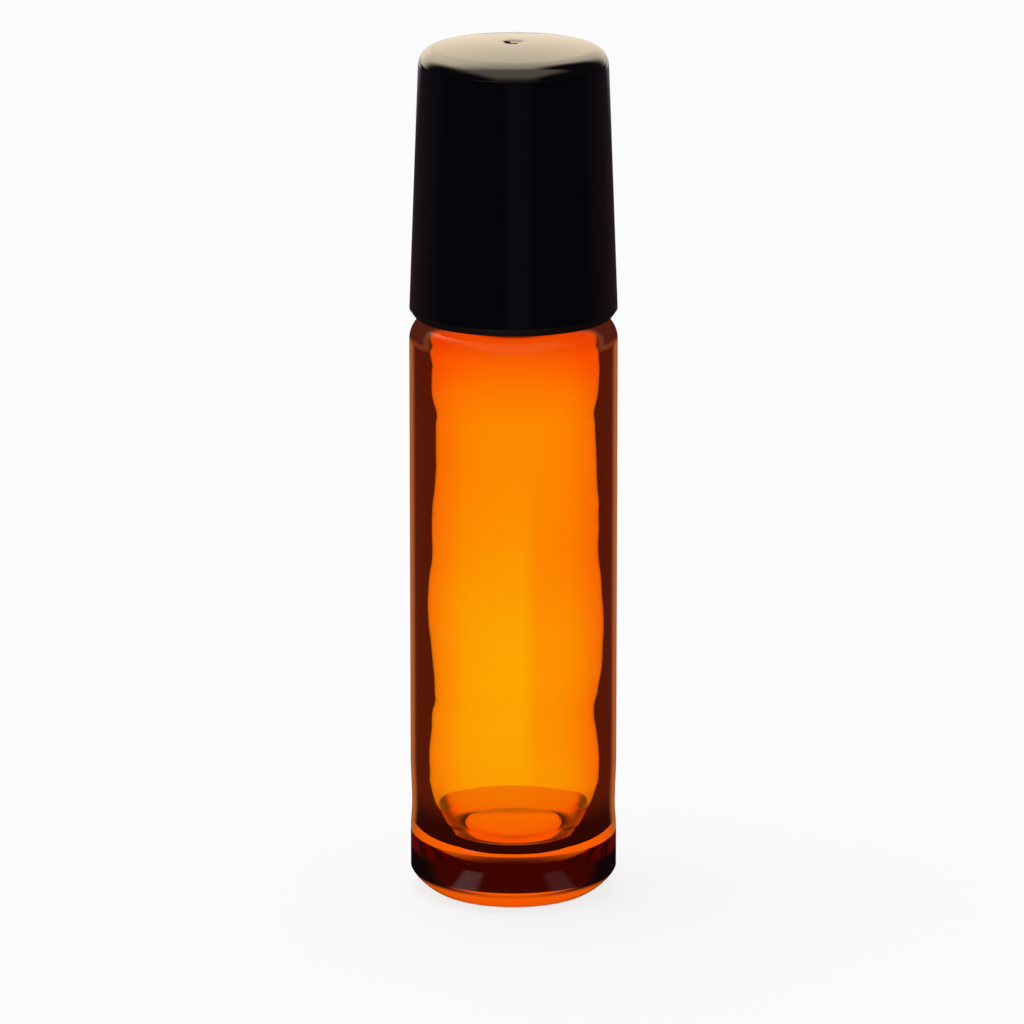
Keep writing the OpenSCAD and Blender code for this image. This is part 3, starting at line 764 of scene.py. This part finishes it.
def capOutline(c):
    slope = math.tan(math.radians(c["lean"]))
    sideFoot = c["rim"] + c["bevelHeight"]
    topRadius = c["baseRadius"] - slope * (c["edgeHeight"] - sideFoot)
    dome = (topRadius ** 2 + c["crownRise"] ** 2) / (2 * c["crownRise"])
    domeHeight = c["crown"] - dome
    lean = math.radians(c["lean"])
    outward = (math.cos(lean), math.sin(lean))
    upward = (-math.sin(lean), math.cos(lean))
    reach = topRadius * outward[0] + c["edgeHeight"] * outward[1] - c["edgeRound"]
    across = reach - domeHeight * outward[1]
    along = math.sqrt((dome - c["edgeRound"]) ** 2 - across ** 2)
    edgeX = across * outward[0] + along * upward[0]
    edgeZ = domeHeight + across * outward[1] + along * upward[1]
    edgeAngle = math.degrees(math.atan2(edgeZ - domeHeight, edgeX))
    dimpleBall = ((c["dimple"] / 2) ** 2 + c["dimpleDepth"] ** 2) / (2 * c["dimpleDepth"])
    dimpleAngle = math.degrees(math.asin(c["dimple"] / 2 / dimpleBall))
    domeStop = 90 - math.degrees(math.asin(c["dimple"] / 2 / dome))
    innerZ = c["crown"] - c["top"] - c["innerRound"]
    innerX = c["bore"] + slope * (c["lipTop"] - innerZ) - c["innerRound"] / math.cos(lean)
    foot = (c["bore"] + slope * (c["lipTop"] - c["rim"]), c["rim"])
    bevelEnd = (c["baseRadius"], sideFoot)
    ceiling = c["crown"] - c["top"]
    line = [(0, ceiling), (c["collarBore"], ceiling), (c["collarBore"], c["beadTop"]),
            (c["bead"], c["beadTop"]), (c["bead"], c["beadFoot"] + c["beadChamfer"]),
            (c["bead"] + c["beadChamfer"], c["beadFoot"]), (c["collar"], c["beadFoot"]),
            (c["collar"], ceiling)]
    line += arc(innerX, innerZ, c["innerRound"], 90, c["lean"], 6)
    line += [foot, (c["baseRadius"] - c["bevelWidth"], c["rim"]), bevelEnd]
    sideTop = (edgeX + c["edgeRound"] * outward[0], edgeZ + c["edgeRound"] * outward[1])
    for i in range(1, c["sideSteps"]):
        line.append(tuple(p + (q - p) * i / c["sideSteps"] for p, q in zip(bevelEnd, sideTop)))
    line += arc(edgeX, edgeZ, c["edgeRound"], c["lean"], edgeAngle, 24)
    line += arc(0, domeHeight, dome, edgeAngle, domeStop, 24)[1:]
    bottomZ = c["crown"] - c["dimpleDepth"]
    nibAngle = math.degrees(math.asin(c["nib"] / dimpleBall))
    line += arc(0, bottomZ + dimpleBall, dimpleBall, dimpleAngle - 90, nibAngle - 90, 8)[1:]
    nibTop = bottomZ + c["nibHeight"]
    line += [(c["nib"] - c["nibEdge"], nibTop - c["nibEdge"]), (c["nib"] - 2 * c["nibEdge"], nibTop),
             (0, nibTop - c["nibEdge"])]
    return [(x * mm, z * mm) for x, z in line]


screwCap = turned("screwCap", capOutline(cap), cap["steps"])
capThread = helicalRidge(
    "capThread", threadOutline(thread["capWall"], thread["capCrest"], thread["capRootWidth"],
                               thread["capCrestWidth"], thread["capLow"]),
    thread["capCrest"] * mm, (thread["capWall"] + thread["capBury"]) * mm,
    thread["capStart"], thread["capTurns"])
fuse(screwCap, capThread)
# The gate tore out a small pit beside its nib
deselectAll()
bpy.ops.mesh.primitive_uv_sphere_add(segments=24, ring_count=16, radius=cap["pit"] * mm,
                                     location=[v * mm for v in cap["pitPlace"]])
gatePit = bpy.context.object
applyModifier(screwCap, "BOOLEAN", operation="DIFFERENCE", solver="EXACT", object=gatePit)
bpy.data.objects.remove(gatePit)
smooth(screwCap, 30)
dress(screwCap, "cap", "cap_plastic", "screw_cap", glossBlack())
print("cap turned")

# Ball housing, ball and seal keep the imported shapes
housing = mergedCopy("roller_housing", "rollerHousing")
smooth(housing, 30)
dress(housing, "bottle", "housing_plastic", "roller_housing", naturalPlastic("clearPlastic", housingFinish))
ball = mergedCopy("roller_ball", "rollerBall")
smooth(ball, 60)
dress(ball, "ball", "ball_steel", "roller_ball", polishedSteel())
seal = mergedCopy("ball_seal", "ballSeal")
smooth(seal, 30)
dress(seal, "seal", "seal_plastic", "ball_seal", naturalPlastic("softPlastic", sealFinish))
print("housing, ball and seal dressed")

# Studio: pale floor, pale room, one soft lamp
studio = {
    "floorSize": 12.0,
    "floorHeight": -0.02 * mm,
    "floorColor": (0.95, 0.95, 0.95, 1),
    "floorShare": 0.8,                 # how much of the floor stays white by itself
    "throughShare": 0.95,              # the same, seen through glass
    "contactShadow": (6.6 * mm, 8.0 * mm),   # painted shadow: the floor's white glow is taken away here, under the bottle's foot
    "tableEdge": (0.35, 0.6),          # past this the room behind shows in reflections
    "tableSide": (0.45, 0.75),         # but not farther aside than this share of the distance
    "roomLevel": 0.5,
    "lampLevel": 0.5,
    "lampPlace": (-0.25, 0.2, 1.4),
    "lampSize": (1.2, 0.9),
    "lampAim": (0, 0, 40 * mm),
    "warm": (1.0, 0.835, 0.62, 1),
    # painted reflection: glossy rays alone see a warm ceiling, a grey card and a dark room, so these show in
    # reflections and light nothing
    "ceiling": 8.5,
    "ceilingStops": ((0.0, 0.175), (0.04, 0.214), (0.085, 0.252), (0.14, 0.285), (0.3, 0.51), (0.41, 0.585),
                     (0.5, 0.575), (0.6, 0.0)),
    "ceilingLeft": (0.60, 0.86),       # how far aside its light fades, to each side
    "ceilingRight": (0.42, 0.74),
    "ceilingTaper": (0.15, 0.5, 0.28),  # its right side is narrower overhead than behind
    "ceilingGain": (0.0, 0.45, 0.4),   # and its left side is brighter behind
    "ceilingGainTop": (0.35, 0.5),
    "card": 0.194,                     # a painted grey card above the camera, seen only in reflections
    "cardTop": (0.52, 0.60),
    "cardFoot": (0.78, 1.02),
    "cardSide": (0.55, 0.90),
    "cardTaper": (0.62, 0.95, 0.3),
    "dark": 0.004,
    # painted reflection: the floor as glossy rays see it, dark in front of the bottle and a little paler behind
    "mirrorFront": (0.015, 0.013, 0.016, 1),
    "mirrorBack": (0.055, 0.034, 0.040, 1),
    "mirrorBlend": (-0.05, 0.1),
    # painted light: glowing patches that lie on the floor in front of the foot, to each side, seen only in
    # reflections
    "patchLightColor": (2.3, 2.15, 2.4, 1),
    "patchTurn": (0.42, 0.54, 0.74, 0.88),
    "patchLoss": 0.6,                  # the right one is fainter by this share
    "patchReach": (9 * mm, 14 * mm, 28 * mm, 33 * mm),
    "streak": (0.075, 0.065, 0.075, 1),    # painted reflection: a faint paler strip on the floor before the cap, seen only in reflections
    "streakTurn": (-0.22, -0.08, 0.26, 0.40),
    "streakStart": (0.10, 0.18),
}


def buildFloor():
    deselectAll()
    bpy.ops.mesh.primitive_plane_add(size=studio["floorSize"], location=(0, 0, studio["floorHeight"]))
    floor = bpy.context.object
    floor.name = "floor"
    bpy.ops.object.transform_apply(location=True, rotation=True, scale=True)
    material, maker = newMaterial("paleFloor")
    parts = maker.add("ShaderNodeSeparateXYZ", {}, {0: maker.place().out("Vector")})
    x, y = parts.out("X"), parts.out("Y")
    away = x.math("SQRT", x * x + y * y)
    path = maker.add("ShaderNodeLightPath")
    seen = path.out("Is Camera Ray")
    through = path.out("Is Transmission Ray")
    mirrored = path.out("Is Glossy Ray") * (1 - through)
    # Painted shadow: no white glow under the bottle's foot, for camera and mirror rays
    open_ = maker.between(away, *studio["contactShadow"])
    behind = maker.between(y, *studio["tableEdge"])
    behind = behind * (1 - maker.between(x.math("ABSOLUTE", x) / y, *studio["tableSide"]))
    plain = maker.add("ShaderNodeBsdfDiffuse", {}, {"Color": studio["floorColor"]}).out("BSDF")
    white = maker.add("ShaderNodeEmission", {}, {"Strength": 1.0}).out("Emission")
    # painted reflection: in a mirror's view the floor is painted dark, and a little paler behind the bottle
    tones = [maker.add("ShaderNodeBsdfDiffuse", {}, {"Color": studio[name]}).out("BSDF")
             for name in ("mirrorFront", "mirrorBack", "streak")]
    dark = maker.add("ShaderNodeMixShader", {}, {
        0: maker.between(y, *studio["mirrorBlend"]), 1: tones[0], 2: tones[1]}).out("Shader")
    # angle from the front in radians
    around = x.math("ARCTAN2", x, -y)
    # Painted reflection: a faint paler strip on the floor, seen only in reflections
    streak = maker.hill(around, studio["streakTurn"]) * maker.between(away, *studio["streakStart"])
    dark = maker.add("ShaderNodeMixShader", {}, {0: streak, 1: dark, 2: tones[2]}).out("Shader")
    # Painted light: patches on the floor beside the foot glow, seen only in reflections
    patch = maker.hill(x.math("ABSOLUTE", around), studio["patchTurn"]) * maker.hill(away, studio["patchReach"])
    patch = patch * (1 - (x > 0) * studio["patchLoss"])
    glow = maker.add("ShaderNodeEmission", {}, {"Color": studio["patchLightColor"], "Strength": 1.0}).out("Emission")
    dark = maker.add("ShaderNodeMixShader", {}, {0: patch, 1: dark, 2: glow}).out("Shader")
    share = studio["floorShare"] * open_ * x.math("MAXIMUM", seen, mirrored)
    share = x.math("MAXIMUM", share, through * studio["throughShare"])
    lit = maker.add("ShaderNodeMixShader", {}, {0: share, 1: plain, 2: white}).out("Shader")
    shader = maker.add("ShaderNodeMixShader", {}, {0: mirrored * (1 - behind), 1: lit, 2: dark}).out("Shader")
    maker.finish(shader)
    floor.data.materials.append(material)


def buildRoom():
    world = bpy.data.worlds.new("paleRoom")
    world.use_nodes = True
    scene.world = world
    maker = Maker(world.node_tree)
    parts = maker.add("ShaderNodeSeparateXYZ", {}, {0: maker.add("ShaderNodeTexCoord").out("Generated")})
    turn = parts.out("Z").math("ARCTAN2", parts.out("Z"), parts.out("Y")) / math.pi
    x = parts.out("X")
    # 0 is the horizon behind the bottle, 0.5 is straight up, 1 is the horizon in front
    # Painted reflection: the warm ceiling and the grey card are seen by glossy rays alone and light nothing
    stops = [(place, (level, level, level, 1)) for place, level in studio["ceilingStops"]]
    glow = maker.add("ShaderNodeValToRGB", {"stops": stops}, {"Fac": turn}).out("Color")
    start, full, taper = studio["cardTaper"]
    aside = x.math("ABSOLUTE", x) + maker.between(turn, start, full) * taper
    card = maker.between(turn, *studio["cardTop"]) * (1 - maker.between(turn, *studio["cardFoot"]))
    card = card * (1 - maker.between(aside, *studio["cardSide"])) * studio["card"]
    start, full, taper = studio["ceilingTaper"]
    right = maker.between(x + maker.between(turn, start, full) * taper, *studio["ceilingRight"])
    start, full, gain = studio["ceilingGain"]
    gain = maker.between(-x, start, full) * (1 - maker.between(turn, *studio["ceilingGainTop"])) * gain
    left = maker.between(-x, *studio["ceilingLeft"])
    glow = glow * (1 + gain) * (1 - right) * (1 - left) + card + studio["dark"]
    path = maker.add("ShaderNodeLightPath")
    seen = turn.math("MAXIMUM", path.out("Is Camera Ray"), path.out("Is Transmission Ray"))
    mirrored = path.out("Is Glossy Ray") * (1 - path.out("Is Transmission Ray"))
    plain = maker.add("ShaderNodeBackground", {}, {
        "Color": (1, 1, 1, 1), "Strength": studio["roomLevel"]}).out(0)
    white = maker.add("ShaderNodeBackground", {}, {"Color": (1, 1, 1, 1), "Strength": 1.0}).out(0)
    unlit = maker.add("ShaderNodeBackground", {}, {"Color": (0, 0, 0, 1)}).out(0)
    ceiling = maker.add("ShaderNodeBackground", {}, {
        "Color": studio["warm"], "Strength": studio["ceiling"]}).out(0)
    ceiling = maker.add("ShaderNodeMixShader", {}, {0: glow, 1: unlit, 2: ceiling}).out("Shader")
    shader = maker.add("ShaderNodeMixShader", {}, {0: seen, 1: plain, 2: white}).out("Shader")
    shader = maker.add("ShaderNodeMixShader", {}, {0: mirrored, 1: shader, 2: ceiling}).out("Shader")
    maker.finish(shader, kind="ShaderNodeOutputWorld")


def buildLamp():
    bpy.ops.object.light_add(type="AREA", location=studio["lampPlace"])
    lamp = bpy.context.object
    lamp.name = "overheadLamp"
    lamp.data.shape = "RECTANGLE"
    lamp.data.size, lamp.data.size_y = studio["lampSize"]
    aim = Vector(studio["lampAim"]) - Vector(studio["lampPlace"])
    lamp.rotation_euler = aim.to_track_quat("-Z", "Y").to_euler()
    # lampLevel is the share of full white that the lamp alone gives a face turned to it
    lamp.data.energy = studio["lampLevel"] * math.pi * math.pi * aim.length ** 2
    lamp.visible_glossy = False
    lamp.visible_transmission = False
    lamp.visible_camera = False


buildFloor()
buildRoom()
buildLamp()
print("studio built")
